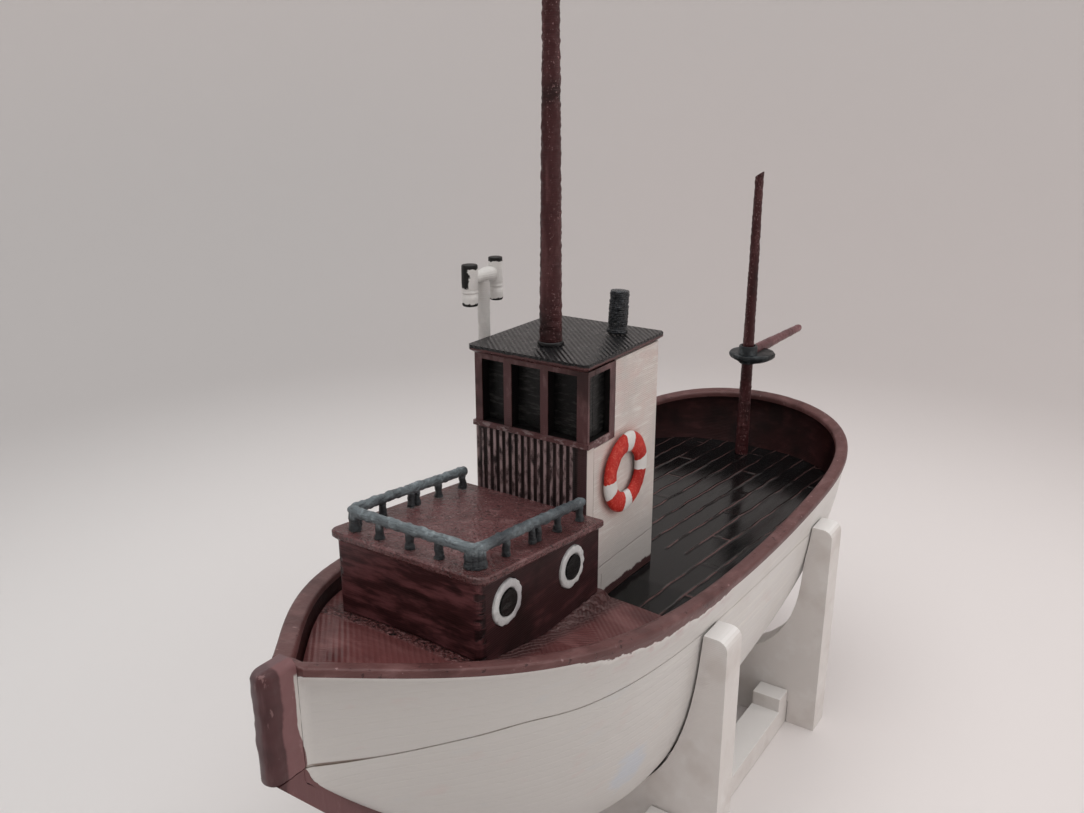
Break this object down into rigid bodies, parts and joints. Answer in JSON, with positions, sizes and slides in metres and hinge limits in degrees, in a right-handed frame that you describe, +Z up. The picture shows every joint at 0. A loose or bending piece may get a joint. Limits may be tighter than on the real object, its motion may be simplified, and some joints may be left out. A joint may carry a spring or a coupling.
{
  "type": "display model of a wooden fishing boat on a stand",
  "caption": "Hand-painted printed model of a wooden fishing boat with wheelhouse, trunk cabin, masts and swinging boom, resting in a two-frame stand.",
  "frame": {"origin": "on the floor under the stand, in the middle of the model's length and width", "axes": "+X towards the bow, +Y to port, +Z up"},
  "size_m": [0.1041, 0.0366, 0.0959],
  "materials": {
    "hull_white": "brushed acrylic paint over a layered print",
    "oxblood": "brushed satin paint over a layered print",
    "deck_black": "satin black paint, scuffed",
    "rail_grey": "brushed grey paint",
    "iron_grey": "dark grey-blue paint",
    "buoy_red": "red paint with white bands",
    "stand_white": "bare layered print, off-white"
  },
  "bodies": {
    "boat": {"hull_lower": "hull_white", "topsides": "hull_white", "rail_cap": "oxblood", "main_deck": "deck_black", "foredeck": "oxblood", "stem": "oxblood", "keel": "oxblood", "trunk_walls": "oxblood", "trunk_roof": "oxblood", "porthole_rim_port_fore": "hull_white", "porthole_rim_port_aft": "hull_white", "porthole_rim_starboard_fore": "hull_white", "porthole_rim_starboard_aft": "hull_white", "porthole_pane_port_fore": "deck_black", "porthole_pane_port_aft": "deck_black", "porthole_pane_starboard_fore": "deck_black", "porthole_pane_starboard_aft": "deck_black", "railing": "rail_grey", "window_frame_front": "oxblood", "front_planking": "oxblood", "wheelhouse_side_port": "hull_white", "wheelhouse_side_starboard": "hull_white", "window_frame_port": "oxblood", "window_frame_starboard": "oxblood", "glazing_front": "deck_black", "glazing_port": "deck_black", "glazing_starboard": "deck_black", "wheelhouse_back": "hull_white", "wheelhouse_roof": "deck_black", "front_mast": "oxblood", "mast_ring": "deck_black", "chimney": "iron_grey", "lifebuoy": "buoy_red", "lamp_post": "hull_white", "lamp_fore": "hull_white", "lamp_aft": "hull_white", "mizzen_mast": "oxblood", "stand_frame_fore": "stand_white", "stand_frame_aft": "stand_white", "stand_bar_port": "stand_white", "stand_bar_starboard": "stand_white"},
    "boom": {"boom_collar": "rail_grey", "boom": "oxblood"},
    "rudder": {"rudder": "oxblood"},
    "propeller": {"propeller": "iron_grey"}
  },
  "joints": [
    {"name": "boom_swing", "type": "hinge", "parent": "boat", "child": "boom", "pos_m": [-0.0327, 0, 0.0422], "axis": [0, 0, 1], "range_deg": [-80, 80]},
    {"name": "rudder_turn", "type": "hinge", "parent": "boat", "child": "rudder", "pos_m": [-0.03785, 0, 0.013], "axis": [0, 0, 1], "range_deg": [-35, 35]},
    {"name": "propeller_spin", "type": "hinge", "parent": "boat", "child": "propeller", "pos_m": [-0.0324, 0, 0.0126], "axis": [1, 0, 0], "continuous": true}
  ]
}
